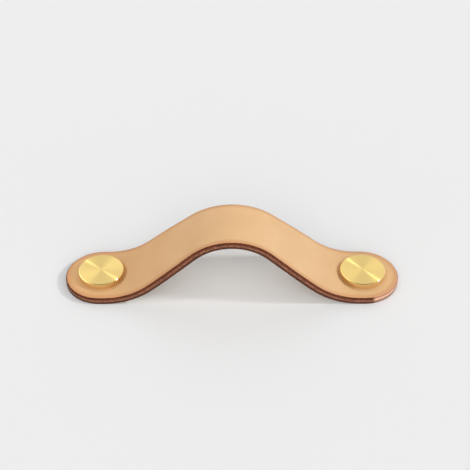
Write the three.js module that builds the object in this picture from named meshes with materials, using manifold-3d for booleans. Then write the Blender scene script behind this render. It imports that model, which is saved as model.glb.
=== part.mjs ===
import * as THREE from 'three';
import { mergeVertices, toCreasedNormals } from 'three/addons/utils/BufferGeometryUtils.js';
import Module from 'manifold-3d';

// Leather strap pull for a drawer or cupboard door: one thick leather strap, bent to an arch and
// held down at each end by a turned brass head. Millimetres, +Z up. The strap's ends lie on the
// mounting plane z = 0, and the origin is midway between the two fixing holes.

// Side view, measured on the grain side, the one that shows
const holeSpacing = 128;
const crownRadius = 31;
const slopeAngle = 40;
const footRadius = 33;
const flatBeforeHole = 2;

// Leather, cut flat before it is bent: round ends, a slimmer middle, rounded and dyed edges
const strapThickness = 3.75;
const endRadius = 17.5;
const waistWidth = 29.5;
const waistLength = 6;
const taperLength = 44;
const edgeRadius = 0.8;

// Brass head, turned in one with the shank that sits in the strap's hole
const headDiameter = 22;
const headHeight = 3.5;
const faceChamfer = 0.4;
const footChamfer = 0.25;
const shankDiameter = 8;
const shankSetback = 0.3;
const tappedDiameter = 3.3;
const tappedDepth = 4.8;
const drillPointAngle = 118;
const mouthChamfer = 0.3;

// Fits: the head presses a shallow bed into the leather
const shankClearance = 0.3;
const bedClearance = 0.3;
const bedDepth = 0.25;

// Fineness of the facets
const bendStep = 2;
const taperStep = 2.5;
const tipSteps = 20;
const edgeSteps = 4;
const roundSteps = 72;

const leather = new THREE.MeshStandardMaterial({ color: 0xdcae80, roughness: 0.6, metalness: 0 });
const brass = new THREE.MeshStandardMaterial({ color: 0xe6c36a, roughness: 0.28, metalness: 1 });

const wasm = await Module();
wasm.setup();

// A closed geometry as a solid that can be cut
function toSolid(geometry) {
  const bare = geometry.clone();
  bare.deleteAttribute('normal');
  bare.deleteAttribute('uv');
  const merged = mergeVertices(bare);
  return new wasm.Manifold(new wasm.Mesh({
    numProp: 3,
    vertProperties: merged.getAttribute('position').array,
    triVerts: new Uint32Array(merged.getIndex().array),
  }));
}

function toGeometry(solid) {
  const cut = solid.getMesh();
  const geometry = new THREE.BufferGeometry();
  geometry.setAttribute('position', new THREE.BufferAttribute(cut.vertProperties, 3));
  geometry.setIndex(new THREE.BufferAttribute(cut.triVerts, 1));
  return toCreasedNormals(geometry, Math.PI / 6);
}

// Side view of half the strap, along the middle of its thickness and outwards from the crown:
// crown bend, straight leg, foot bend, flat seat. The leg is as long as the hole spacing needs.
const slope = THREE.MathUtils.degToRad(slopeAngle);
const crownMiddle = crownRadius - strapThickness / 2;
const footMiddle = footRadius + strapThickness / 2;
const seatStart = holeSpacing / 2 - flatBeforeHole;
const legLength = (seatStart - (crownMiddle + footMiddle) * Math.sin(slope)) / Math.cos(slope);
const crownEnd = crownMiddle * slope;
const legEnd = crownEnd + legLength;
const footEnd = legEnd + footMiddle * slope;
const holeRun = footEnd + flatBeforeHole;
const rise = (crownMiddle + footMiddle) * (1 - Math.cos(slope)) + legLength * Math.sin(slope);

// Place and lean of the leather at a distance run from the crown, along the leather
function bendAt(run) {
  const out = Math.abs(run);
  const side = Math.sign(run);
  let lean = 0;
  let x = seatStart + out - footEnd;
  let height = 0;
  if (out < crownEnd) {
    lean = out / crownMiddle;
    x = crownMiddle * Math.sin(lean);
    height = rise - crownMiddle * (1 - Math.cos(lean));
  } else if (out < legEnd) {
    lean = slope;
    x = crownMiddle * Math.sin(slope) + (out - crownEnd) * Math.cos(slope);
    height = rise - crownMiddle * (1 - Math.cos(slope)) - (out - crownEnd) * Math.sin(slope);
  } else if (out < footEnd) {
    lean = (footEnd - out) / footMiddle;
    x = seatStart - footMiddle * Math.sin(lean);
    height = footMiddle * (1 - Math.cos(lean));
  }
  return { x: side * x, z: strapThickness / 2 + height, lean: side * lean };
}

// A point of the flat leather, at run along it, y across it and up from its flesh side, once bent
function bent(run, y, up) {
  const middle = bendAt(run);
  const offset = up - strapThickness / 2;
  return [middle.x + offset * Math.sin(middle.lean), y, middle.z + offset * Math.cos(middle.lean)];
}

// Half width of the flat leather between the two holes
function halfWidthAt(run) {
  const taperStart = waistLength / 2;
  const share = THREE.MathUtils.smoothstep(Math.abs(run), taperStart, taperStart + taperLength);
  return THREE.MathUtils.lerp(waistWidth / 2, endRadius, share);
}

// Even steps from a distance up to, and not with, the next one
function evenSteps(from, to, step) {
  const count = Math.max(1, Math.ceil((to - from) / step));
  return Array.from({ length: count }, (_, i) => from + ((to - from) * i) / count);
}

// One long edge of the flat leather, from the left tip to the right tip: each station has its place
// and the outward direction of the edge there
function edgeStations() {
  const half = [];
  const stops = [
    [0, crownEnd, bendStep],
    [crownEnd, legEnd, taperStep],
    [legEnd, footEnd, bendStep],
    [footEnd, holeRun, taperStep],
  ];
  for (const [from, to, step] of stops) {
    for (const run of evenSteps(from, to, step)) {
      const nudge = 0.01;
      const flare = (halfWidthAt(run + nudge) - halfWidthAt(run - nudge)) / (2 * nudge);
      const out = new THREE.Vector2(-flare, 1).normalize();
      half.push({ run, wide: halfWidthAt(run), out });
    }
  }
  for (let i = 0; i <= tipSteps; i += 1) {
    const angle = ((1 - i / tipSteps) * Math.PI) / 2;
    const out = new THREE.Vector2(Math.cos(angle), i < tipSteps ? Math.sin(angle) : 0);
    half.push({ run: holeRun + endRadius * out.x, wide: endRadius * out.y, out });
  }
  const mirrored = half.slice(1).reverse().map(({ run, wide, out }) => (
    { run: -run, wide, out: new THREE.Vector2(-out.x, out.y) }
  ));
  return [...mirrored, ...half];
}

// Section of the rounded edge, from the flesh side up to the grain side, as distance in from the
// outline and height
function edgeSection() {
  const points = [];
  for (const [centre, start] of [[edgeRadius, -90], [strapThickness - edgeRadius, 0]]) {
    for (let i = 0; i <= edgeSteps; i += 1) {
      const angle = THREE.MathUtils.degToRad(start + (90 * i) / edgeSteps);
      points.push({ inset: edgeRadius * (1 - Math.cos(angle)), up: centre + edgeRadius * Math.sin(angle) });
    }
  }
  return points;
}

// The strap before its holes are punched: the edge's section swept round the outline, and two faces
// whose strips run straight across, because the leather bends only along its length
function strapBlank() {
  const stations = edgeStations();
  const section = edgeSection();
  const last = stations.length - 1;
  const around = 2 * last;
  const position = [];
  const index = [];
  for (const { inset, up } of section) {
    for (let i = 0; i < around; i += 1) {
      const near = i <= last;
      const { run, wide, out } = stations[near ? i : around - i];
      const y = wide - inset * out.y;
      position.push(...bent(run - inset * out.x, near ? -y : y, up));
    }
  }
  const top = (section.length - 1) * around;
  for (let row = 0; row < top; row += around) {
    for (let i = 0; i < around; i += 1) {
      const next = (i + 1) % around;
      index.push(row + i, row + next, row + around + next);
      index.push(row + i, row + around + next, row + around + i);
    }
  }
  for (let i = 0; i < last; i += 1) {
    const far = (around - i) % around;
    const farNext = around - i - 1;
    if (i < last - 1) {
      index.push(i, farNext, i + 1);
      index.push(top + i, top + i + 1, top + farNext);
    }
    if (i > 0) {
      index.push(i, far, farNext);
      index.push(top + i, top + farNext, top + far);
    }
  }
  const geometry = new THREE.BufferGeometry();
  geometry.setAttribute('position', new THREE.Float32BufferAttribute(position, 3));
  geometry.setIndex(index);
  return geometry;
}

// An upright cutter over a fixing hole
function upright(radius, x, from, to) {
  const geometry = new THREE.CylinderGeometry(radius, radius, to - from, roundSteps);
  geometry.rotateX(Math.PI / 2);
  geometry.translate(x, 0, (from + to) / 2);
  return toSolid(geometry);
}

// The strap: a hole for each shank, and a flat bed where a head presses into the foot of the bend
function strapGeometry() {
  const clear = strapThickness + rise;
  let solid = toSolid(strapBlank());
  for (const side of [-1, 1]) {
    const x = (side * holeSpacing) / 2;
    solid = solid.subtract(upright(shankDiameter / 2 + shankClearance, x, -clear, clear));
    solid = solid.subtract(upright(headDiameter / 2 + bedClearance, x, strapThickness - bedDepth, clear));
  }
  return toGeometry(solid);
}

// The head, standing on z = 0 with its shank below: half of its section, turned about the axis
function headGeometry() {
  const radius = headDiameter / 2;
  const shank = shankDiameter / 2;
  const tapped = tappedDiameter / 2;
  const end = shankSetback + bedDepth - strapThickness;
  const bottom = end + tappedDepth;
  const point = tapped / Math.tan(THREE.MathUtils.degToRad(drillPointAngle / 2));
  const outline = [
    [0, bottom + point],
    [tapped, bottom],
    [tapped, end + mouthChamfer],
    [tapped + mouthChamfer, end],
    [shank, end],
    [shank, 0],
    [radius - footChamfer, 0],
    [radius, footChamfer],
    [radius, headHeight - faceChamfer],
    [radius - faceChamfer, headHeight],
    [0, headHeight],
  ].map(([across, up]) => new THREE.Vector2(across, up));
  const geometry = new THREE.LatheGeometry(outline, roundSteps);
  geometry.rotateX(Math.PI / 2);
  return toCreasedNormals(geometry, Math.PI / 6);
}

const strapPull = new THREE.Group();

const strap = new THREE.Mesh(strapGeometry(), leather);
strap.name = 'strap';
strapPull.add(strap);

for (const [name, side] of [['left_head', -1], ['right_head', 1]]) {
  const head = new THREE.Mesh(headGeometry(), brass);
  head.name = name;
  head.position.set((side * holeSpacing) / 2, 0, strapThickness - bedDepth);
  strapPull.add(head);
}

export default strapPull;
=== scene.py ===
# %% [markdown]
# # A leather strap pull
# The object is a handle for a drawer or a cupboard door: one thick strap of vegetable-tanned
# leather, bent to an arch that the fingers reach under, and a turned brass head at each end that
# clamps it to the front. The CAD model has already fixed every size, so this script only makes the
# surfaces that the eye meets: the leather with its grain and its dyed edge, and the brass with its
# turning marks. All lengths are in metres, and MM turns a size in millimetres into one.

# %% The frame
import math

import bmesh
import bpy
import numpy as np
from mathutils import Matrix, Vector
from mathutils.geometry import delaunay_2d_cdt


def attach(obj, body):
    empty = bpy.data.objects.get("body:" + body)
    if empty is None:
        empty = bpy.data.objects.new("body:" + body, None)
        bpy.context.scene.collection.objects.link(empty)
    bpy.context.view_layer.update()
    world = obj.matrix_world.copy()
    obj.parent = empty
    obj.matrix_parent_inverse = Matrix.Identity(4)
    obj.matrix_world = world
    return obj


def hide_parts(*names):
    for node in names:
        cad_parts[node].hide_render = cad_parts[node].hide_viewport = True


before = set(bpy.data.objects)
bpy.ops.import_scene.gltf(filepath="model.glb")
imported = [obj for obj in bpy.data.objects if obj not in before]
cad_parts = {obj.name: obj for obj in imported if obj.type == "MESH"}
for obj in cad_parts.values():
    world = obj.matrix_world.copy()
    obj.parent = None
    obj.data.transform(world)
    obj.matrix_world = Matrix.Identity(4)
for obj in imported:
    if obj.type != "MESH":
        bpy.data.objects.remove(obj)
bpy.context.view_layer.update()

MM = 0.001

# %% [markdown]
# ## Four small helpers
# A shader or a Geometry Nodes tree can be drawn by hand, but a script can be read, repeated and
# corrected. One function is enough to add any node: it sets the node's own settings and then fills
# each input, either with a value or with a link from another node. The others turn the hex colours
# that a colour picker shows into the linear numbers that the renderer works in, put such colours
# on a colour ramp, and start a material.

# %% Colours and nodes
def linear(hex_colour):
    """An sRGB colour written as RRGGBB, as linear red, green, blue and alpha."""
    channels = [int(hex_colour[i : i + 2], 16) / 255 for i in (0, 2, 4)]
    return [c / 12.92 if c <= 0.04045 else ((c + 0.055) / 1.055) ** 2.4 for c in channels] + [1.0]


def add(tree, kind, settings=None, inputs=None):
    """Adds a node. An input takes a value, a socket, or a node, whose first output is linked."""
    node = tree.nodes.new(kind)
    for name, value in (settings or {}).items():
        setattr(node, name, value)
    for key, value in (inputs or {}).items():
        if isinstance(value, bpy.types.Node):
            value = value.outputs[0]
        if isinstance(value, bpy.types.NodeSocket):
            tree.links.new(value, node.inputs[key])
        else:
            node.inputs[key].default_value = value
    return node


def fill_ramp(node, stops, start=0.0, end=1.0):
    """Fills a colour ramp with hex colours, each at its place between a start and an end value."""
    elements = node.color_ramp.elements
    while len(elements) < len(stops):
        elements.new(0.5)
    for element, (place, colour) in zip(elements, stops):
        element.position = (place - start) / (end - start)
        element.color = linear(colour)


def empty_material(name):
    """A material with an empty tree, and that tree."""
    material = bpy.data.materials.new(name)
    material.use_nodes = True
    material.node_tree.nodes.clear()
    return material, material.node_tree


print("tan", [round(c, 3) for c in linear("E1B582")])

# %% [markdown]
# ## The camera
# The photograph looks down at the pull at about 40 degrees, square to its length, from roughly
# half a metre with a short telephoto lens. The camera is placed by that angle and distance round a
# point inside the arch, so that it can be corrected by one number at a time.

# %% Camera
VIEW_AZIMUTH = math.radians(-0.09)
VIEW_ELEVATION = math.radians(39.92)
VIEW_DISTANCE = 539.7 * MM
VIEW_TARGET = Vector((1.5, 0.0, 28.87)) * MM
FOCAL_PIXELS = 1131.0
FRAME_PIXELS = 470
SENSOR_WIDTH = 36.0
NEAREST = 0.01
FARTHEST = 50.0

camera_data = bpy.data.cameras.new("camera")
camera_data.sensor_width = SENSOR_WIDTH
camera_data.lens = FOCAL_PIXELS / FRAME_PIXELS * SENSOR_WIDTH
camera_data.clip_start = NEAREST
camera_data.clip_end = FARTHEST
camera = bpy.data.objects.new("camera", camera_data)
bpy.context.collection.objects.link(camera)
back = Vector((
    math.sin(VIEW_AZIMUTH) * math.cos(VIEW_ELEVATION),
    -math.cos(VIEW_AZIMUTH) * math.cos(VIEW_ELEVATION),
    math.sin(VIEW_ELEVATION),
))
camera.location = VIEW_TARGET + VIEW_DISTANCE * back
camera.rotation_euler = back.to_track_quat("Z", "Y").to_euler()
bpy.context.scene.camera = camera
print("lens", round(camera_data.lens, 1), "mm")

# %% [markdown]
# ## The sizes of the strap
# These are the sizes of the CAD model. The side view is a crown bend, a straight leg and a foot
# bend on each side, and then the flat seat under the head. The leather doesn't stretch, so a
# distance along the bent strap is the same distance along the flat blank it was cut as.

# %% Sizes
HOLE_SPACING = 128.0
CROWN_RADIUS = 31.0
SLOPE = math.radians(40.0)
FOOT_RADIUS = 33.0
FLAT_BEFORE_HOLE = 2.0
THICKNESS = 3.75
END_RADIUS = 17.5
WAIST_WIDTH = 29.5
WAIST_LENGTH = 6.0
TAPER_LENGTH = 44.0
HOLE_RADIUS = 4.3
BED_RADIUS = 11.3
BED_LEVEL = 3.5

crown_middle = CROWN_RADIUS - THICKNESS / 2
foot_middle = FOOT_RADIUS + THICKNESS / 2
seat_start = HOLE_SPACING / 2 - FLAT_BEFORE_HOLE
leg_length = (seat_start - (crown_middle + foot_middle) * math.sin(SLOPE)) / math.cos(SLOPE)
foot_end = crown_middle * SLOPE + leg_length + foot_middle * SLOPE
hole_run = foot_end + FLAT_BEFORE_HOLE
print("leg", round(leg_length, 2), "mm, hole at", round(hole_run, 2), "mm along the blank")

# %% [markdown]
# ## The blank's outline
# A real strap pull starts as a flat blank that a press knife stamps from a hide: two round ends
# joined by edges that draw in to a slimmer grip. The outline is walked once round in even steps,
# and each step keeps the direction that points out of the leather, because the edge is swept along
# it.

# %% Outline
OUTLINE_STEP = 0.36


def half_width(run):
    """Half the blank's width at a distance from its middle, and how fast it grows there."""
    share = np.clip((np.abs(run) - WAIST_LENGTH / 2) / TAPER_LENGTH, 0.0, 1.0)
    gain = END_RADIUS - WAIST_WIDTH / 2
    smooth_step = share**2 * (3 - 2 * share)
    steepness = 6 * share * (1 - share)
    return WAIST_WIDTH / 2 + gain * smooth_step, gain * steepness / TAPER_LENGTH * np.sign(run)


def blank_outline():
    """Points once round the blank, anticlockwise, and the outward direction at each."""
    runs = np.linspace(-hole_run, hole_run, int(2 * hole_run / OUTLINE_STEP), endpoint=False)
    wide, flare = half_width(runs)
    near_out = np.stack([-flare, -np.ones_like(flare)], axis=1)
    near_out /= np.linalg.norm(near_out, axis=1)[:, None]
    near = np.stack([runs, -wide], axis=1)
    tip_steps = int(math.pi * END_RADIUS / OUTLINE_STEP)
    turn = np.linspace(-math.pi / 2, math.pi / 2, tip_steps, endpoint=False)
    tip_out = np.stack([np.cos(turn), np.sin(turn)], axis=1)
    tip = tip_out * END_RADIUS + [hole_run, 0.0]
    points = np.concatenate([near, tip, -near, -tip])
    outward = np.concatenate([near_out, tip_out, -near_out, -tip_out])
    return points, outward


outline, outward = blank_outline()
round_count = len(outline)
print(round_count, "steps round the blank")

# %% [markdown]
# ## The edge and the two faces
# The cut edge is rounded with a beveller on both sides and left upright in the middle. Its section
# is swept round the outline. The grain side and the flesh side are then filled with a fine net of
# triangles, because a long thin polygon would crease when it is bent. Rings of points round each
# fixing hole let the head press a clean, round bed. A triangulation with fixed edges does all this
# in one call, which a grid can't, since rows and rings don't share their points.

# %% Section of the edge
SHOULDER_WIDTH = 1.5
SHOULDER_DROP = 0.6
LOWER_ROUND = 0.5
SHOULDER_STEPS = 9
UPRIGHT_STEPS = 9
LOWER_STEPS = 6


def edge_section():
    """From the grain side to the flesh side: distance in, height, and length along the section."""
    rows = []
    for turn in np.linspace(0.0, math.pi / 2, SHOULDER_STEPS + 1):
        inset = SHOULDER_WIDTH * (1 - math.sin(turn))
        rows.append((inset, THICKNESS - SHOULDER_DROP * (1 - math.cos(turn))))
    for up in np.linspace(THICKNESS - SHOULDER_DROP, LOWER_ROUND, UPRIGHT_STEPS + 1)[1:-1]:
        rows.append((0.0, up))
    for turn in np.linspace(0.0, math.pi / 2, LOWER_STEPS + 1):
        rows.append((LOWER_ROUND * (1 - math.cos(turn)), LOWER_ROUND * (1 - math.sin(turn))))
    steps = np.linalg.norm(np.diff(np.array(rows), axis=0), axis=1)
    return [(inset, up, length) for (inset, up), length in zip(rows, [0.0, *np.cumsum(steps)])]


section = edge_section()
edge_length = section[-1][2]
print(len(section), "rows down the edge, which is", round(edge_length, 2), "mm round")

# %% Rings and fill points
NET_STEP = 0.85
NET_REACH = (92.0, 18.0)
NET_CLEARANCE = 0.6 * NET_STEP
SAME_POINT = 1e-7
LIP_WIDTH = 1.3
LIP_SHARES = (0.0, 0.25, 0.5, 0.75, 1.0)
LIP_STEPS = 150
HOLE_STEPS = 96


def unbend(x):
    """How far along the blank a point of the grain side lies that ends up at x."""
    lean = np.arcsin(np.clip((seat_start - x) / FOOT_RADIUS, 0.0, 1.0))
    return np.where(x > seat_start, foot_end + x - seat_start, foot_end - foot_middle * lean)


def ring(radius, side, count):
    """A circle round a fixing hole, as it will look once bent, in the blank's flat coordinates."""
    turn = np.arange(count) * 2 * math.pi / count
    x = HOLE_SPACING / 2 + radius * np.cos(turn)
    return np.stack([side * unbend(x), radius * np.sin(turn)], axis=1)


def inside(polygon, points):
    """Which points lie inside a polygon, by counting the edges to the right of each."""
    odd = np.zeros(len(points), dtype=bool)
    for (ax, ay), (bx, by) in zip(polygon, np.roll(polygon, -1, axis=0)):
        spans = (ay > points[:, 1]) != (by > points[:, 1])
        if spans.any():
            odd ^= spans & (points[:, 0] < (bx - ax) * (points[:, 1] - ay) / (by - ay) + ax)
    return odd


def distance_to(targets, points):
    """Distance from each point to the nearest of the targets."""
    nearest = np.full(len(points), np.inf)
    for target in targets:
        nearest = np.minimum(nearest, np.hypot(*(points - target).T))
    return nearest


def fill(inset, rings):
    """Triangles between the edge, the rings and a net. The first two rings are the holes."""
    border = outline - inset * outward
    fixed = np.concatenate([border, *rings])
    reach_x, reach_y = NET_REACH
    net = np.mgrid[-reach_x:reach_x:NET_STEP, -reach_y:reach_y:NET_STEP]
    net[1] += (np.arange(net.shape[1])[:, None] % 2) * NET_STEP / 2
    net = net.reshape(2, -1).T
    net = net[inside(border, net)]
    net = net[distance_to(fixed, net) > NET_CLEARANCE]
    for hole in rings[:2]:
        net = net[~inside(hole, net)]
    points = np.concatenate([fixed, net])
    edges = []
    start = 0
    for loop in (border, *rings):
        edges += [(start + i, start + (i + 1) % len(loop)) for i in range(len(loop))]
        start += len(loop)
    made = delaunay_2d_cdt([Vector(p) for p in points], edges, [], 0, SAME_POINT)
    triangles = np.array(made[2])
    assert len(made[0]) == len(points)
    centres = points[triangles].mean(axis=1)
    keep = inside(border, centres)
    for hole in rings[:2]:
        keep &= ~inside(hole, centres)
    return points, triangles[keep]


holes = [ring(HOLE_RADIUS, side, HOLE_STEPS) for side in (-1, 1)]
lips = [
    ring(BED_RADIUS + LIP_WIDTH * share, side, LIP_STEPS)
    for side in (-1, 1) for share in LIP_SHARES
]
grain_points, grain_faces = fill(SHOULDER_WIDTH, holes + lips)
flesh_points, flesh_faces = fill(LOWER_ROUND, holes)
print(len(grain_faces), "triangles on the grain side,", len(flesh_faces), "on the flesh side")

# %% [markdown]
# Each point also remembers how far it is from the edge, as one length that runs from the middle of
# the grain side, over the rounded edge, to the flesh side. The leather's material reads it to lay
# the dye on the edge, to paint shade on the margin and to paint the right tip's highlight, so no
# second material and no hard seam are needed.

# %% The flat blank as a mesh
WALL_STEPS = 5
MARGIN = 9.0


def flat_blank():
    """The blank before bending: edge, grain side, flesh side and hole walls, as one closed mesh."""
    points = []
    from_edge = []
    faces = []
    for inset, up, length in section:
        points += [(x, y, up) for x, y in outline - inset * outward]
        from_edge += [length] * round_count
    for row in range(len(section) - 1):
        upper = row * round_count
        lower = upper + round_count
        for i in range(round_count):
            j = (i + 1) % round_count
            faces.append((upper + i, lower + i, lower + j, upper + j))
    hole_rows = {}
    for name, spots, triangles, inset in (
        ("grain", grain_points, grain_faces, SHOULDER_WIDTH),
        ("flesh", flesh_points, flesh_faces, LOWER_ROUND),
    ):
        up = THICKNESS if name == "grain" else 0.0
        shared = 0 if name == "grain" else (len(section) - 1) * round_count
        offset = len(points) - round_count
        inner = spots[round_count:]
        depth = np.minimum(distance_to(outline, inner), MARGIN) - inset
        points += [(x, y, up) for x, y in inner]
        from_edge += list(-depth if name == "grain" else edge_length + depth)
        index = np.where(triangles < round_count, triangles + shared, triangles + offset)
        faces += [tuple(t) if name == "grain" else tuple(t[::-1]) for t in index]
        hole_rows[name] = offset + round_count
    for h, hole in enumerate(holes):
        above = [hole_rows["grain"] + h * HOLE_STEPS + i for i in range(HOLE_STEPS)]
        for step in range(1, WALL_STEPS + 1):
            if step < WALL_STEPS:
                below = [len(points) + i for i in range(HOLE_STEPS)]
                up = THICKNESS * (1 - step / WALL_STEPS)
                points += [(x, y, up) for x, y in hole]
                from_edge += [edge_length / 2] * HOLE_STEPS
            else:
                below = [hole_rows["flesh"] + h * HOLE_STEPS + i for i in range(HOLE_STEPS)]
            for i in range(HOLE_STEPS):
                j = (i + 1) % HOLE_STEPS
                faces.append((above[i], above[j], below[j], below[i]))
            above = below
    mesh = bpy.data.meshes.new("flat_blank")
    mesh.from_pydata((np.array(points) * MM).tolist(), [], faces)
    mesh.attributes.new("from_edge", "FLOAT", "POINT").data.foreach_set("value", from_edge)
    outwards = bmesh.new()
    outwards.from_mesh(mesh)
    bmesh.ops.recalc_face_normals(outwards, faces=outwards.faces)
    open_edges = sum(not edge.is_manifold for edge in outwards.edges)
    outwards.to_mesh(mesh)
    outwards.free()
    print("flat blank:", len(mesh.polygons), "faces,", open_edges, "open edges")
    return mesh


strap_object = bpy.data.objects.new("strap_leather", flat_blank())
bpy.context.collection.objects.link(strap_object)

# %% [markdown]
# ## Bending the blank with Geometry Nodes
# In the workshop the damp blank is bent over a former and dries in that shape. The script does the
# same: the blank stays flat, and a tree of nodes moves each point to its place on the bend. The
# rule is written as a short table of sums. A distance from the crown is split into what lies on
# the crown bend, on the leg, on the foot bend and on the seat, and each share adds its own piece
# of x and of drop. A curve with a Curve to Mesh node could follow the same path, but it couldn't
# carry the round ends and the holes.

# %% The rule of the bend
BEND_RULE = [
    ("out", "ABSOLUTE", "run", 0),
    ("side", "SIGN", "run", 0),
    ("crown_end", "MULTIPLY", "Crown Radius", "Slope"),
    ("foot_length", "MULTIPLY", "Foot Radius", "Slope"),
    ("on_crown", "MINIMUM", "out", "crown_end"),
    ("past_crown", "SUBTRACT", "out", "on_crown"),
    ("on_leg", "MINIMUM", "past_crown", "Leg Length"),
    ("past_leg", "SUBTRACT", "past_crown", "on_leg"),
    ("on_foot", "MINIMUM", "past_leg", "foot_length"),
    ("on_seat", "SUBTRACT", "past_leg", "on_foot"),
    ("crown_lean", "DIVIDE", "on_crown", "Crown Radius"),
    ("foot_turn", "DIVIDE", "on_foot", "Foot Radius"),
    ("foot_lean", "SUBTRACT", "Slope", "foot_turn"),
    ("lean", "SUBTRACT", "crown_lean", "foot_turn"),
    ("sin_crown", "SINE", "crown_lean", 0),
    ("cos_crown", "COSINE", "crown_lean", 0),
    ("sin_slope", "SINE", "Slope", 0),
    ("cos_slope", "COSINE", "Slope", 0),
    ("sin_foot", "SINE", "foot_lean", 0),
    ("cos_foot", "COSINE", "foot_lean", 0),
    ("sin_lean", "SINE", "lean", 0),
    ("cos_lean", "COSINE", "lean", 0),
    ("crown_x", "MULTIPLY", "Crown Radius", "sin_crown"),
    ("leg_x", "MULTIPLY", "on_leg", "cos_slope"),
    ("foot_share_x", "SUBTRACT", "sin_slope", "sin_foot"),
    ("foot_x", "MULTIPLY", "Foot Radius", "foot_share_x"),
    ("upper_x", "ADD", "crown_x", "leg_x"),
    ("lower_x", "ADD", "foot_x", "on_seat"),
    ("middle_x", "ADD", "upper_x", "lower_x"),
    ("leg_drop", "MULTIPLY", "on_leg", "sin_slope"),
    ("crown_share_z", "SUBTRACT", 1, "cos_crown"),
    ("crown_drop", "MULTIPLY", "Crown Radius", "crown_share_z"),
    ("foot_share_z", "SUBTRACT", "cos_foot", "cos_slope"),
    ("foot_drop", "MULTIPLY", "Foot Radius", "foot_share_z"),
    ("upper_drop", "ADD", "crown_drop", "leg_drop"),
    ("drop", "ADD", "upper_drop", "foot_drop"),
    ("both_radii", "ADD", "Crown Radius", "Foot Radius"),
    ("slope_share", "SUBTRACT", 1, "cos_slope"),
    ("bends_rise", "MULTIPLY", "both_radii", "slope_share"),
    ("leg_rise", "MULTIPLY", "Leg Length", "sin_slope"),
    ("rise", "ADD", "bends_rise", "leg_rise"),
    ("half_thickness", "MULTIPLY", "Thickness", 0.5),
    ("offset", "SUBTRACT", "up", "half_thickness"),
    ("offset_x", "MULTIPLY", "offset", "sin_lean"),
    ("offset_z", "MULTIPLY", "offset", "cos_lean"),
    ("out_x", "ADD", "middle_x", "offset_x"),
    ("x", "MULTIPLY", "out_x", "side"),
    ("height", "SUBTRACT", "rise", "drop"),
    ("middle_z", "ADD", "height", "half_thickness"),
    ("z", "ADD", "middle_z", "offset_z"),
    ("from_hole", "SUBTRACT", "out_x", "Hole Distance"),
    ("x_square", "MULTIPLY", "from_hole", "from_hole"),
    ("y_square", "MULTIPLY", "y", "y"),
    ("r_square", "ADD", "x_square", "y_square"),
    ("from_head", "SQRT", "r_square", 0),
    ("is_grain_side", "GREATER_THAN", "offset", 0),
    ("lip_end", "ADD", "Bed Radius", "Lip Width"),
]

print(len(BEND_RULE), "sums make the bend")

# %% [markdown]
# After the bend comes the pressed bed: where the head clamps the grain side, the leather is flat
# at one level, and a soft lip climbs back to the free surface round it. Last come two small
# offsets along the surface's own direction. One gives the cut edge its fibres, which a press knife
# tears rather than slices, and the other lets the grain side wave by a few hundredths of a
# millimetre.

# %% The rules of the bed and of the surface
EDGE_ZONE = (1.7, 0.9)   # the fibres fade out between these distances from the middle of the edge
FIBRE_LEVEL = 0.62       # above the noise's middle, so that the fibres stand in more than out

BED_RULE = [
    ("pressed", "SUBTRACT", 1, "free"),
    ("proud", "SUBTRACT", "z", "Bed Level"),
    ("above", "MAXIMUM", "proud", 0),
    ("on_grain", "MULTIPLY", "above", "is_grain_side"),
    ("push", "MULTIPLY", "on_grain", "pressed"),
    ("pressed_z", "SUBTRACT", "z", "push"),
]
EDGE_RULE = [
    ("edge_middle", "SUBTRACT", "from_edge", edge_length / 2),
    ("edge_off", "ABSOLUTE", "edge_middle", 0),
    ("fibre_scale", "DIVIDE", 1, "Fibre Size"),
    ("wave_scale", "DIVIDE", 1, "Wave Length"),
]
SURFACE_RULE = [
    ("fibre_signed", "SUBTRACT", "fibres", FIBRE_LEVEL),
    ("fibre_push", "MULTIPLY", "fibre_signed", "Fibre Depth"),
    ("fibre_offset", "MULTIPLY", "fibre_push", "on_edge"),
    ("wave_signed", "SUBTRACT", "waves", 0.5),
    ("wave_push", "MULTIPLY", "wave_signed", "Wave Depth"),
    ("wave_free", "MULTIPLY", "wave_push", "free"),
    ("wave_offset", "MULTIPLY", "wave_free", "is_grain_side"),
    ("surface_offset", "ADD", "fibre_offset", "wave_offset"),
]

print(len(BED_RULE + EDGE_RULE + SURFACE_RULE), "more sums make the bed and the surface")


# %% The tree
def work_out(tree, rule, value):
    """Adds a Math node for each row of a rule, and keeps it in value under the row's name."""
    for name, operation, first, second in rule:
        value[name] = add(tree, "ShaderNodeMath", {"operation": operation},
                          {0: value.get(first, first), 1: value.get(second, second)})


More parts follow.
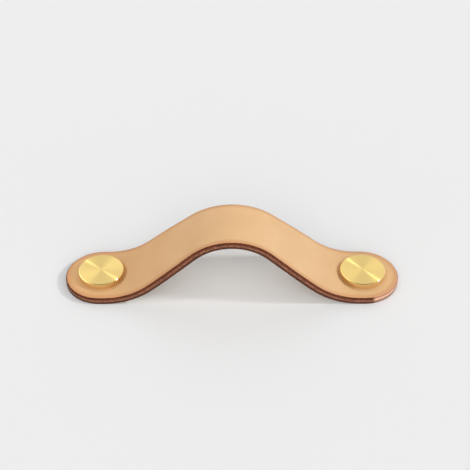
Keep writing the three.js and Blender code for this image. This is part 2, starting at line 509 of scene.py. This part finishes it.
def bend_tree():
    """Geometry Nodes that bend a flat blank, press the beds and roughen the edge."""
    tree = bpy.data.node_groups.new("bend_a_leather_strap", "GeometryNodeTree")
    tree.interface.new_socket("Geometry", in_out="INPUT", socket_type="NodeSocketGeometry")
    tree.interface.new_socket("Geometry", in_out="OUTPUT", socket_type="NodeSocketGeometry")
    numbers = ("Crown Radius", "Foot Radius", "Slope", "Leg Length", "Thickness", "Hole Distance",
               "Bed Radius", "Bed Level", "Lip Width", "Fibre Size", "Fibre Depth",
               "Wave Length", "Wave Depth")
    for name in numbers:
        tree.interface.new_socket(name, in_out="INPUT", socket_type="NodeSocketFloat")
    tree.interface.new_socket("Material", in_out="INPUT", socket_type="NodeSocketMaterial")
    given = add(tree, "NodeGroupInput")

    flat = add(tree, "GeometryNodeInputPosition")
    kept = add(tree, "GeometryNodeStoreNamedAttribute",
               {"data_type": "FLOAT_VECTOR", "domain": "POINT"},
               {"Geometry": given.outputs["Geometry"], "Name": "flat", "Value": flat})
    flat_kept = add(tree, "GeometryNodeInputNamedAttribute",
                    {"data_type": "FLOAT_VECTOR"}, {"Name": "flat"})
    parts = add(tree, "ShaderNodeSeparateXYZ", None, {0: flat_kept})
    value = {name: given.outputs[name] for name in numbers}
    value.update(run=parts.outputs[0], y=parts.outputs[1], up=parts.outputs[2])
    value["from_edge"] = add(tree, "GeometryNodeInputNamedAttribute",
                             {"data_type": "FLOAT"}, {"Name": "from_edge"})
    work_out(tree, BEND_RULE, value)

    value["free"] = add(tree, "ShaderNodeMapRange", {"interpolation_type": "SMOOTHSTEP"},
                        {"Value": value["from_head"], "From Min": value["Bed Radius"],
                         "From Max": value["lip_end"]})
    work_out(tree, BED_RULE, value)
    place = add(tree, "ShaderNodeCombineXYZ", None,
                {0: value["x"], 1: value["y"], 2: value["pressed_z"]})
    bent = add(tree, "GeometryNodeSetPosition", None, {"Geometry": kept, "Position": place})

    work_out(tree, EDGE_RULE, value)
    edge_outer, edge_inner = EDGE_ZONE
    value["on_edge"] = add(tree, "ShaderNodeMapRange", {"interpolation_type": "SMOOTHSTEP"},
                           {"Value": value["edge_off"], "From Min": edge_outer,
                            "From Max": edge_inner})
    value["fibres"] = add(tree, "ShaderNodeTexNoise", None,
                          {"Vector": flat_kept, "Scale": value["fibre_scale"], "Detail": 2.0,
                           "Roughness": 0.6})
    value["waves"] = add(tree, "ShaderNodeTexNoise", None,
                         {"Vector": flat_kept, "Scale": value["wave_scale"], "Detail": 1.0})
    work_out(tree, SURFACE_RULE, value)
    normal = add(tree, "GeometryNodeInputNormal")
    shift = add(tree, "ShaderNodeVectorMath", {"operation": "SCALE"},
                {0: normal, "Scale": value["surface_offset"]})
    rough = add(tree, "GeometryNodeSetPosition", None, {"Geometry": bent, "Offset": shift})
    smooth = add(tree, "GeometryNodeSetShadeSmooth", None, {"Geometry": rough})
    real = add(tree, "GeometryNodeRealizeInstances", None, {"Geometry": smooth})
    dressed = add(tree, "GeometryNodeSetMaterial", None,
                  {"Geometry": real, "Material": given.outputs["Material"]})
    add(tree, "NodeGroupOutput", None, {"Geometry": dressed})
    return tree


def run_tree(piece, tree, values):
    """Runs a tree on an object with named inputs, and keeps the result as its plain mesh."""
    modifier = piece.modifiers.new("nodes", "NODES")
    modifier.node_group = tree
    for item in tree.interface.items_tree:
        if item.in_out == "INPUT" and item.name in values:
            modifier[item.identifier] = values[item.name]
    evaluated = piece.evaluated_get(bpy.context.evaluated_depsgraph_get())
    made = bpy.data.meshes.new_from_object(evaluated)
    piece.modifiers.clear()
    piece.data = made
    made.name = piece.name
    return made


# %% [markdown]
# ## The leather
# The strap is vegetable-tanned cowhide in its natural tan, with a smooth grain side. Bark tanning
# leaves a warm, slightly uneven colour, and the hair's pores give a fine pebble that catches light
# softly. Painted light and shade along the strap make the left leg a little warmer and deeper, as
# shade away from the key lamp, and the right leg a little cooler and whiter, as the key lamp's
# sheen. A narrow margin of the grain side next to the edge is painted darker, as shade on the
# rounded shoulder. The cut edge is dyed red-brown: the dye sits darkest where the beveller
# compressed the fibres at the top of the edge, and stays thin on the open fibres below. The dark
# band at the bottom of the edge is dye together with painted shade, where the edge rounds under
# towards the floor. Round the right tip, which faces the key lamp, a paler copy of the edge colours
# is painted as the lamp's highlight, with two faint lines kept. The flesh side is the suede-like
# inside of the hide. One tree holds all these zones and mixes them by the distance kept in each
# point, with a little noise so that no border is a ruler line.

# %% Vegetable-tanned leather
SHADING_REACH = 90.0
SHOULDER_SHADE = (-2.0, 0.6)  # from no painted shade to full painted shade on the shoulder, as distances from_edge
DYED = (0.8, 1.15)       # from undyed to dyed, in the same way
DYE_WANDER = 0.25
FLESH_BLEND = 0.3
SECTION_START = -4.0
SECTION_END = edge_length + 3.0
PORE_SPACING = 0.9       # real pores are 0.3 mm apart, drawn coarser so that they show
PEBBLE_SIZE = 0.45
MOTTLE_SIZE = 14.0
FIBRE_SIZE = 0.5
CLUMP_SIZE = 0.8         # real fibre bundles are 0.1 to 0.3 mm thick, drawn coarser too
NAP_SIZE = 0.6
BUMP_HEIGHT = 0.03
TIP_START = 77.5         # the key lamp's highlight is painted from here on, on the right tip only
TIP_BLEND = 1.6


def vegetable_tanned_leather():
    """Natural tan with a broad, soft sheen, a dark fibrous edge and a dull, pale flesh side."""
    material, tree = empty_material("vegetable_tanned_leather")
    flat = add(tree, "ShaderNodeAttribute", {"attribute_name": "flat"}).outputs["Vector"]
    from_edge = add(tree, "ShaderNodeAttribute", {"attribute_name": "from_edge"}).outputs["Fac"]

    mottle = add(tree, "ShaderNodeTexNoise", None,
                 {"Vector": flat, "Scale": 1 / (MOTTLE_SIZE * MM), "Detail": 5.0,
                  "Roughness": 0.55})
    pebble = add(tree, "ShaderNodeTexNoise", None,
                 {"Vector": flat, "Scale": 1 / (PEBBLE_SIZE * MM), "Detail": 3.0, "Roughness": 0.6})
    pores = add(tree, "ShaderNodeTexVoronoi", {"feature": "F1"},
                {"Vector": flat, "Scale": 1 / (PORE_SPACING * MM)})
    fibres = add(tree, "ShaderNodeTexNoise", None,
                 {"Vector": flat, "Scale": 1 / (FIBRE_SIZE * MM), "Detail": 3.0, "Roughness": 0.65})
    nap = add(tree, "ShaderNodeTexNoise", None,
              {"Vector": flat, "Scale": 1 / (NAP_SIZE * MM), "Detail": 4.0, "Roughness": 0.7})

    tan = add(tree, "ShaderNodeValToRGB", None, {"Fac": mottle})
    fill_ramp(tan, [(0.3, "E1B582"), (0.7, "E6BC8B")])
    pore_shade = add(tree, "ShaderNodeMapRange", None,
                     {"Value": pores, "From Max": 0.35, "To Min": 0.93, "To Max": 1.0})
    tan_pored = add(tree, "ShaderNodeVectorMath", {"operation": "SCALE"},
                    {0: tan, "Scale": pore_shade})

    along_strap = add(tree, "ShaderNodeSeparateXYZ", None, {0: flat}).outputs[0]
    # Painted light and shade along the strap: warmer and deeper on the left leg, as shade away from
    # the key lamp, cooler and whiter on the right leg, as the key lamp's sheen.
    shading_place = add(tree, "ShaderNodeMapRange", None,
                     {"Value": along_strap, "From Min": -SHADING_REACH * MM,
                      "From Max": SHADING_REACH * MM})
    painted_shading = add(tree, "ShaderNodeValToRGB", {"label": "tone along the strap"}, {"Fac": shading_place})
    fill_ramp(painted_shading, [
        (-40.0, "FFF9F1"), (-10.0, "FFFFFF"), (8.0, "FFFFFF"), (25.0, "FAFCFF"), (55.0, "FAFCFF"),
        (66.0, "FFFFFF"),
    ], -SHADING_REACH, SHADING_REACH)
    multiply = {"data_type": "RGBA", "blend_type": "MULTIPLY"}
    tan_mottled_and_shaded = add(tree, "ShaderNodeMix", multiply, {"Factor": 1.0})
    tree.links.new(tan_pored.outputs[0], tan_mottled_and_shaded.inputs[6])
    tree.links.new(painted_shading.outputs[0], tan_mottled_and_shaded.inputs[7])
    # The margin next to the edge is multiplied darker: painted shade on the rounded shoulder.
    shoulder_shade = add(tree, "ShaderNodeMapRange", {"interpolation_type": "SMOOTHSTEP"},
                    {"Value": from_edge, "From Min": SHOULDER_SHADE[0], "From Max": SHOULDER_SHADE[1]})
    tan_shoulder_shaded = add(tree, "ShaderNodeMix", multiply, {"Factor": shoulder_shade})
    tree.links.new(tan_mottled_and_shaded.outputs[2], tan_shoulder_shaded.inputs[6])
    tan_shoulder_shaded.inputs[7].default_value = linear("EFDDD7")

    wander = add(tree, "ShaderNodeMapRange", None,
                 {"Value": fibres, "To Min": -DYE_WANDER, "To Max": DYE_WANDER})
    wandered = add(tree, "ShaderNodeMath", {"operation": "ADD"}, {0: from_edge, 1: wander})
    along = add(tree, "ShaderNodeMapRange", None,
                {"Value": wandered, "From Min": SECTION_START, "From Max": SECTION_END})
    # Down the edge: undyed, dark where the beveller pressed, thin on open fibres, dark, flesh
    # The dark band at the bottom of the edge is dye and painted shade where the edge rounds under
    # towards the floor.
    edge = add(tree, "ShaderNodeValToRGB", {"label": "dyed edge"}, {"Fac": along})
    fill_ramp(edge, [
        (SECTION_START, "E4B782"), (0.75, "B07246"), (1.1, "55240D"), (2.15, "5A2810"),
        (2.7, "845740"), (3.3, "7E5139"), (3.7, "4F2817"), (4.9, "462210"), (5.4, "B2A08A"),
        (SECTION_END, "B8A791"),
    ], SECTION_START, SECTION_END)
    dyed = add(tree, "ShaderNodeMapRange", {"interpolation_type": "SMOOTHSTEP"},
               {"Value": wandered, "From Min": DYED[0], "From Max": DYED[1]})
    flesh = add(tree, "ShaderNodeMapRange", {"interpolation_type": "SMOOTHSTEP"},
                {"Value": from_edge, "From Min": edge_length - FLESH_BLEND,
                 "From Max": edge_length + FLESH_BLEND})
    not_flesh = add(tree, "ShaderNodeMath", {"operation": "SUBTRACT"}, {0: 1.0, 1: flesh})
    # Round the right tip, which faces the key lamp, a paler copy of the edge colours is painted:
    # the lamp's highlight.
    on_tip = add(tree, "ShaderNodeMapRange", None,
                 {"Value": along_strap, "From Min": TIP_START * MM,
                  "From Max": (TIP_START + TIP_BLEND) * MM})
    tip_light = add(tree, "ShaderNodeMath", {"operation": "MULTIPLY"}, {0: on_tip, 1: not_flesh})
    tip_highlight = add(tree, "ShaderNodeValToRGB", {"label": "worn edge"}, {"Fac": along})
    fill_ramp(tip_highlight, [
        (0.9, "DDB092"), (1.35, "9A5C3E"), (1.8, "C89A80"), (2.6, "DDB39A"), (3.2, "C0937B"),
        (3.8, "8A604B"), (5.0, "7C5543"),
    ], SECTION_START, SECTION_END)
    edge_with_tip_light = add(tree, "ShaderNodeMix", {"data_type": "RGBA"}, {"Factor": tip_light})
    tree.links.new(edge.outputs[0], edge_with_tip_light.inputs[6])
    tree.links.new(tip_highlight.outputs[0], edge_with_tip_light.inputs[7])

    clumps = add(tree, "ShaderNodeTexNoise", None,
                 {"Vector": flat, "Scale": 1 / (CLUMP_SIZE * MM), "Detail": 2.0, "Roughness": 0.7})
    speckle = add(tree, "ShaderNodeMapRange", None,
                  {"Value": clumps, "From Min": 0.38, "From Max": 0.62, "To Min": 0.5,
                   "To Max": 1.5})
    nap_shade = add(tree, "ShaderNodeMapRange", None,
                    {"Value": nap, "From Min": 0.35, "From Max": 0.65, "To Min": 0.9,
                     "To Max": 1.1})
    flesh_and_tip_light = add(tree, "ShaderNodeMath", {"operation": "MAXIMUM"}, {0: flesh, 1: tip_light})
    shade = add(tree, "ShaderNodeMapRange", None,
                {"Value": flesh_and_tip_light, "To Min": speckle, "To Max": nap_shade})
    edge_speckled = add(tree, "ShaderNodeVectorMath", {"operation": "SCALE"},
                        {0: edge_with_tip_light.outputs[2], "Scale": shade})
    colour = add(tree, "ShaderNodeMix", {"data_type": "RGBA"}, {"Factor": dyed})
    tree.links.new(tan_shoulder_shaded.outputs[2], colour.inputs[6])
    tree.links.new(edge_speckled.outputs[0], colour.inputs[7])

    roughness_edge = add(tree, "ShaderNodeMapRange", None,
                         {"Value": dyed, "To Min": 0.52, "To Max": 0.45})
    roughness = add(tree, "ShaderNodeMapRange", None,
                    {"Value": flesh, "To Min": roughness_edge, "To Max": 0.9})

    grain_height = add(tree, "ShaderNodeMath", {"operation": "MULTIPLY"}, {0: pebble, 1: 0.4})
    pore_height = add(tree, "ShaderNodeMapRange", None,
                      {"Value": pores, "From Max": 0.3, "To Max": 0.6})
    grain = add(tree, "ShaderNodeMath", {"operation": "ADD"}, {0: grain_height, 1: pore_height})
    fuzz = add(tree, "ShaderNodeMath", {"operation": "MULTIPLY"}, {0: nap, 1: 4.0})
    fibre_height = add(tree, "ShaderNodeMath", {"operation": "MULTIPLY"}, {0: fibres, 1: 3.0})
    height_edge = add(tree, "ShaderNodeMapRange", None,
                      {"Value": dyed, "To Min": grain, "To Max": fibre_height})
    height = add(tree, "ShaderNodeMapRange", None,
                 {"Value": flesh, "To Min": height_edge, "To Max": fuzz})
    bump = add(tree, "ShaderNodeBump", None,
               {"Strength": 0.5, "Distance": BUMP_HEIGHT * MM, "Height": height})

    shader = add(tree, "ShaderNodeBsdfPrincipled", None,
                 {"Base Color": colour.outputs[2], "Roughness": roughness, "Normal": bump,
                  "Specular IOR Level": 0.2})
    add(tree, "ShaderNodeOutputMaterial", None, {"Surface": shader})
    return material


STRAP_CREASE = math.radians(50)

leather = vegetable_tanned_leather()
strap_mesh = run_tree(strap_object, bend_tree(), {
    "Crown Radius": crown_middle * MM,
    "Foot Radius": foot_middle * MM,
    "Slope": SLOPE,
    "Leg Length": leg_length * MM,
    "Thickness": THICKNESS * MM,
    "Hole Distance": HOLE_SPACING / 2 * MM,
    "Bed Radius": BED_RADIUS * MM,
    "Bed Level": BED_LEVEL * MM,
    "Lip Width": LIP_WIDTH * MM,
    "Fibre Size": 0.9 * MM,
    "Fibre Depth": 0.28 * MM,
    "Wave Length": 16.0 * MM,
    "Wave Depth": 0.08 * MM,
    "Material": leather,
})
strap_mesh.set_sharp_from_angle(angle=STRAP_CREASE)
print("strap:", len(strap_mesh.polygons), "faces")

# %% [markdown]
# ## The brass heads
# Each head is turned on a lathe from brass bar, in one piece with the shank that fills the strap's
# hole, and the shank is tapped for a screw from behind. So the mesh is turned too: half a section
# is swept round the axis. The chamfer of the face is slightly convex, as a hand-held tool leaves
# it, and that curve is what gathers the lamp into a bright point on the rim. The thread is a wave
# in the bore's wall that climbs by one pitch a turn. The Screw modifier would turn the section
# just as well, but plain code can also write the UV map, where u runs round the axis, and the
# brushed reflection needs that direction.

# %% Section of a head
HEAD_RADIUS = 11.0
HEAD_HEIGHT = 3.5
FACE_CHAMFER = 0.4
CHAMFER_TILTS = (math.radians(65), math.radians(25))    # slightly convex, not a flat 45 degrees
CHAMFER_STEPS = 8
FACE_STEPS = 24
FOOT_CHAMFER = 0.25
SHANK_RADIUS = 4.0
SHANK_CHAMFER = 0.3
SHANK_SETBACK = 0.3
TAPPED_RADIUS = 1.65
TAPPED_DEPTH = 4.8
DRILL_POINT_ANGLE = math.radians(118)
THREAD_PITCH = 0.7
THREAD_DEPTH = 0.3
THREAD_STEPS = 64
THREAD_RUNOUT_STEPS = 8
MOUTH_CHAMFER = 0.35
TURN_STEPS = 144
HEAD_CREASE = math.radians(20)
UNDERSIDE_RING = 0.7     # one ring of points part of the way out under the head

shank_end = SHANK_SETBACK - BED_LEVEL


def head_section():
    """Radius, height and thread depth of each ring, from the bore's point round to the face."""
    bottom = shank_end + TAPPED_DEPTH
    point = TAPPED_RADIUS / math.tan(DRILL_POINT_ANGLE / 2)
    rings = [(0.0, bottom + point, 0.0), (TAPPED_RADIUS * 0.5, bottom + point * 0.5, 0.0)]
    for i in range(THREAD_STEPS + 1):
        height = bottom - (TAPPED_DEPTH - MOUTH_CHAMFER) * i / THREAD_STEPS
        fade = min(1.0, i / THREAD_RUNOUT_STEPS)
        rings.append((TAPPED_RADIUS, height, THREAD_DEPTH * fade))
    rings.append((TAPPED_RADIUS + MOUTH_CHAMFER, shank_end, 0.0))
    rings.append((SHANK_RADIUS - SHANK_CHAMFER, shank_end, 0.0))
    rings.append((SHANK_RADIUS, shank_end + SHANK_CHAMFER, 0.0))
    rings += [(SHANK_RADIUS, 0.0, 0.0), (HEAD_RADIUS * UNDERSIDE_RING, 0.0, 0.0)]
    rings += [(HEAD_RADIUS - FOOT_CHAMFER, 0.0, 0.0), (HEAD_RADIUS, FOOT_CHAMFER, 0.0)]
    low_tilt, high_tilt = CHAMFER_TILTS
    bulge = FACE_CHAMFER / (math.sin(low_tilt) - math.sin(high_tilt))
    for tilt in np.linspace(low_tilt, high_tilt, CHAMFER_STEPS):
        across = HEAD_RADIUS - FACE_CHAMFER + bulge * (math.sin(tilt) - math.sin(high_tilt))
        rings.append((across, HEAD_HEIGHT - bulge * (math.cos(high_tilt) - math.cos(tilt)), 0.0))
    for share in np.linspace(1.0, 0.0, FACE_STEPS)[1:]:
        rings.append(((HEAD_RADIUS - FACE_CHAMFER) * share, HEAD_HEIGHT, 0.0))
    return rings


rings = head_section()
print(len(rings), "rings in a head")


# %% Turning the section
def turned_head(name, x):
    """A head as a closed mesh round an upright axis at x, with a UV map that runs round it."""
    points = []
    spots = []
    for radius, height, depth in rings:
        if radius == 0.0:
            points.append([len(spots)] * (TURN_STEPS + 1))
            spots.append((x, 0.0, BED_LEVEL + height))
            continue
        first = len(spots)
        for i in range(TURN_STEPS):
            turn = 2 * math.pi * i / TURN_STEPS
            phase = (height / THREAD_PITCH - i / TURN_STEPS) % 1.0
            r = radius + depth * (1 - abs(2 * phase - 1))
            spots.append((x + r * math.cos(turn), r * math.sin(turn), BED_LEVEL + height))
        points.append([first + i % TURN_STEPS for i in range(TURN_STEPS + 1)])
    travel = [0.0]
    for (r0, h0, _), (r1, h1, _) in zip(rings, rings[1:]):
        travel.append(travel[-1] + math.hypot(r1 - r0, h1 - h0))
    faces = []
    uvs = []
    for k in range(len(rings) - 1):
        lower, upper = points[k], points[k + 1]
        for i in range(TURN_STEPS):
            corners = [(lower[i], i, k), (lower[i + 1], i + 1, k),
                       (upper[i + 1], i + 1, k + 1), (upper[i], i, k + 1)]
            if rings[k][0] == 0.0:
                corners.pop(1)
            elif rings[k + 1][0] == 0.0:
                corners.pop(3)
            faces.append([c[0] for c in corners])
            uvs += [(c[1] / TURN_STEPS, travel[c[2]] / travel[-1]) for c in corners]
    mesh = bpy.data.meshes.new(name)
    mesh.from_pydata((np.array(spots) * MM).tolist(), [], faces)
    layer = mesh.uv_layers.new(name="turning")
    layer.data.foreach_set("uv", np.array(uvs).ravel())
    mesh.polygons.foreach_set("use_smooth", [True] * len(faces))
    mesh.set_sharp_from_angle(angle=HEAD_CREASE)
    piece = bpy.data.objects.new(name, mesh)
    bpy.context.collection.objects.link(piece)
    return piece


# %% [markdown]
# ## The brass
# The bar is free-cutting brass, yellow under a thin clear lacquer. The lathe tool leaves fine
# concentric grooves on the face, which stretch every reflection into a streak through the centre.
# The Principled shader's Anisotropic value does that stretching, the UV map above says which way
# the grooves run, and a rotation of a quarter turn lays the stretch across them. A faint ring
# pattern in the bump and in the roughness adds the single grooves that show close up. The lacquer
# is the shader's coat: it is smoother than the grooves and gives the small sharp glint at the
# streak's end. The side wall was polished, so it reflects the leather around it more sharply, and
# it is given a paler brass than the face, as painted reflection that makes it look whiter.

# %% Face-turned brass
GROOVE_PITCH = 0.22      # real feed marks are under 0.1 mm apart, drawn coarser so that they show
GROOVE_HEIGHT = 0.01
SMEAR_SIZE = 4.0
LEVEL_TOLERANCE = 0.02


def face_turned_brass(name, x):
    """Brass that shines in streaks from turning marks round an axis at x; the wall's paler colour
    is painted reflection.
    """
    material, tree = empty_material(name)
    place = add(tree, "ShaderNodeTexCoord").outputs["Object"]
    centred = add(tree, "ShaderNodeMapping", None,
                  {"Vector": place, "Location": (-x * MM, 0.0, 0.0)})
    parts = add(tree, "ShaderNodeSeparateXYZ", None, {0: centred})
    level = add(tree, "ShaderNodeCombineXYZ", None, {0: parts.outputs[0], 1: parts.outputs[1]})
    radius = add(tree, "ShaderNodeVectorMath", {"operation": "LENGTH"}, {0: level}).outputs["Value"]
    turns = add(tree, "ShaderNodeMath", {"operation": "DIVIDE"}, {0: radius, 1: GROOVE_PITCH * MM})
    tool = add(tree, "ShaderNodeTexNoise", {"noise_dimensions": "1D"},
               {"W": turns, "Scale": 1.0, "Detail": 3.0, "Roughness": 0.6})
    face_level = BED_LEVEL + HEAD_HEIGHT - LEVEL_TOLERANCE
    face = add(tree, "ShaderNodeMath", {"operation": "GREATER_THAN"},
               {0: parts.outputs[2], 1: face_level * MM})
    turned = add(tree, "ShaderNodeMath", {"operation": "GREATER_THAN"},
                 {0: parts.outputs[2], 1: (face_level - FACE_CHAMFER) * MM})
    clouds = add(tree, "ShaderNodeTexNoise", None,
                 {"Vector": place, "Scale": 1 / (SMEAR_SIZE * MM), "Detail": 3.0})

    colour = add(tree, "ShaderNodeValToRGB", None, {"Fac": tool})
    fill_ramp(colour, [(0.3, "F6D276"), (0.7, "FDE08A")])
    # The wall gets a paler brass than the face: painted reflection, which makes it look whiter.
    brass_with_painted_wall_reflection = add(tree, "ShaderNodeMix", {"data_type": "RGBA"}, {"Factor": turned})
    brass_with_painted_wall_reflection.inputs[6].default_value = linear("F3DCAE")
    tree.links.new(colour.outputs[0], brass_with_painted_wall_reflection.inputs[7])
    smear = add(tree, "ShaderNodeMapRange", None, {"Value": clouds, "To Max": 0.05})
    base_rough = add(tree, "ShaderNodeMapRange", None,
                     {"Value": face, "To Min": 0.12, "To Max": 0.32})
    ring_rough = add(tree, "ShaderNodeMath", {"operation": "MULTIPLY_ADD"},
                     {0: tool, 1: 0.06, 2: base_rough})
    roughness = add(tree, "ShaderNodeMath", {"operation": "ADD"}, {0: ring_rough, 1: smear})
    height = add(tree, "ShaderNodeMath", {"operation": "MULTIPLY"}, {0: tool, 1: face})
    bump = add(tree, "ShaderNodeBump", None,
               {"Strength": 0.25, "Distance": GROOVE_HEIGHT * MM, "Height": height})
    tangent = add(tree, "ShaderNodeTangent", {"direction_type": "UV_MAP", "uv_map": "turning"})
    shader = add(tree, "ShaderNodeBsdfPrincipled", None, {
        "Base Color": brass_with_painted_wall_reflection.outputs[2], "Metallic": 1.0, "Roughness": roughness, "Normal": bump,
        "Anisotropic": 1.0, "Anisotropic Rotation": 0.25, "Tangent": tangent,
        "Coat Weight": 1.0, "Coat Roughness": 0.12})
    add(tree, "ShaderNodeOutputMaterial", None, {"Surface": shader})
    return material


heads = {}
for node, side in (("left_head", -1), ("right_head", 1)):
    x = side * HOLE_SPACING / 2
    heads[node] = turned_head("brass_" + node, x)
    heads[node].data.materials.append(face_turned_brass("face_turned_brass_" + node, x))
    print(node, len(heads[node].data.polygons), "faces")

# %% [markdown]
# ## The studio
# The pull lies on a plain pale sheet in a light tent, whose front and back walls glow while its
# sides stay dim. That models the arch softly. A key lamp low on the right lights the slopes that
# face it, draws the streaks on the brass and throws the shadow to the left, and a weak lamp
# overhead firms up the shadow under the arch. The floor is a real surface, so it takes the shadow.
# The world shows the same pale grey behind it to the camera. Metal sees a tent of its own: a
# brighter panel on the left gives the heads one lighter flank, and the dark opening for the camera
# draws the thin dark line under their front rim.

# %% Floor, world and lamps
FLOOR_GREY = "EEEEEE"
FLOOR_REACH = 3.0
FLOOR_DROP = 0.02        # just under the leather, so that the two faces never share a plane
LAMP_SPREAD = 7.0
WHITE = (1.0, 1.0, 1.0, 1.0)


def pale_floor():
    """A square of plain, matt paper under the pull, which shows soft shadows."""
    material, tree = empty_material("pale_paper")
    shader = add(tree, "ShaderNodeBsdfPrincipled", None,
                 {"Base Color": linear(FLOOR_GREY), "Roughness": 0.9, "Specular IOR Level": 0.1})
    add(tree, "ShaderNodeOutputMaterial", None, {"Surface": shader})
    mesh = bpy.data.meshes.new("floor")
    corners = [(-1, -1), (1, -1), (1, 1), (-1, 1)]
    mesh.from_pydata([(x * FLOOR_REACH, y * FLOOR_REACH, -FLOOR_DROP * MM) for x, y in corners],
                     [], [(0, 1, 2, 3)])
    mesh.materials.append(material)
    floor = bpy.data.objects.new("floor", mesh)
    bpy.context.collection.objects.link(floor)
    return floor


def lamp(name, towards, share):
    """A far lamp in a direction. Its share says how bright it alone makes a sheet that faces it."""
    data = bpy.data.lights.new(name, "SUN")
    data.energy = share * math.pi
    data.angle = math.radians(LAMP_SPREAD)
    light = bpy.data.objects.new(name, data)
    bpy.context.collection.objects.link(light)
    light.rotation_euler = Vector(towards).to_track_quat("Z", "Y").to_euler()
    return light


TENT_FRONT = 2.42
TENT_BACK = 1.18
PANEL_GLOW = 1.7         # the bright panel on the left that only metal mirrors
OPENING_GLOW = 0.2       # the dark opening for the camera, which only metal mirrors too


def light_tent():
    """A world with glowing front and back walls, a pale backdrop and panels that metal mirrors."""
    world = bpy.data.worlds.new("light_tent")
    world.use_nodes = True
    tree = world.node_tree
    tree.nodes.clear()
    towards = add(tree, "ShaderNodeTexCoord").outputs["Generated"]
    parts = add(tree, "ShaderNodeSeparateXYZ", None, {0: towards})
    front = add(tree, "ShaderNodeMapRange", None,
                {"Value": parts.outputs[1], "From Max": -1.0, "To Max": TENT_FRONT})
    rear = add(tree, "ShaderNodeMapRange", None,
               {"Value": parts.outputs[1], "From Max": 1.0, "To Max": TENT_BACK})
    glow = add(tree, "ShaderNodeMath", {"operation": "ADD"}, {0: front, 1: rear})
    tent = add(tree, "ShaderNodeBackground", None, {"Color": WHITE, "Strength": glow})

    panel = add(tree, "ShaderNodeMapRange", {"interpolation_type": "SMOOTHSTEP"},
                {"Value": parts.outputs[0], "From Min": -0.25, "From Max": -0.75, "To Min": 1.0,
                 "To Max": PANEL_GLOW})
    in_front = add(tree, "ShaderNodeMapRange", {"interpolation_type": "SMOOTHSTEP"},
                   {"Value": parts.outputs[1], "From Min": -0.1, "From Max": -0.5})
    above = add(tree, "ShaderNodeMapRange", {"interpolation_type": "SMOOTHSTEP"},
                {"Value": parts.outputs[2], "From Min": 0.15, "From Max": 0.4})
    opening = add(tree, "ShaderNodeMath", {"operation": "MULTIPLY"}, {0: in_front, 1: above})
    front_glow = add(tree, "ShaderNodeMapRange", None,
                     {"Value": opening, "To Min": 1.0, "To Max": OPENING_GLOW})
    metal_glow = add(tree, "ShaderNodeMath", {"operation": "MULTIPLY"}, {0: panel, 1: front_glow})
    mirrored = add(tree, "ShaderNodeBackground", None, {"Color": WHITE, "Strength": metal_glow})

    backdrop = add(tree, "ShaderNodeBackground", None,
                   {"Color": linear(FLOOR_GREY), "Strength": 1.0})
    path = add(tree, "ShaderNodeLightPath")
    unseen = add(tree, "ShaderNodeMixShader", None,
                 {0: path.outputs["Is Glossy Ray"], 1: tent, 2: mirrored})
    chosen = add(tree, "ShaderNodeMixShader", None,
                 {0: path.outputs["Is Camera Ray"], 1: unseen, 2: backdrop})
    add(tree, "ShaderNodeOutputWorld", None, {"Surface": chosen})
    return world


floor = pale_floor()
bpy.context.scene.world = light_tent()
lamp("key_right", (0.82, -0.04, 0.57), 0.31)
overhead = lamp("overhead", (0.0, -0.1, 1.0), 0.06)
overhead.visible_glossy = False
bpy.context.scene.view_settings.view_transform = "Standard"
print("lamps", [light.name for light in bpy.data.lights])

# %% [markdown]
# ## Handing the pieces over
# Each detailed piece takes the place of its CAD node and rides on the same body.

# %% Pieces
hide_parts("strap")
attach(strap_object, "root")
for node, piece in heads.items():
    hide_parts(node)
    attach(piece, "root")
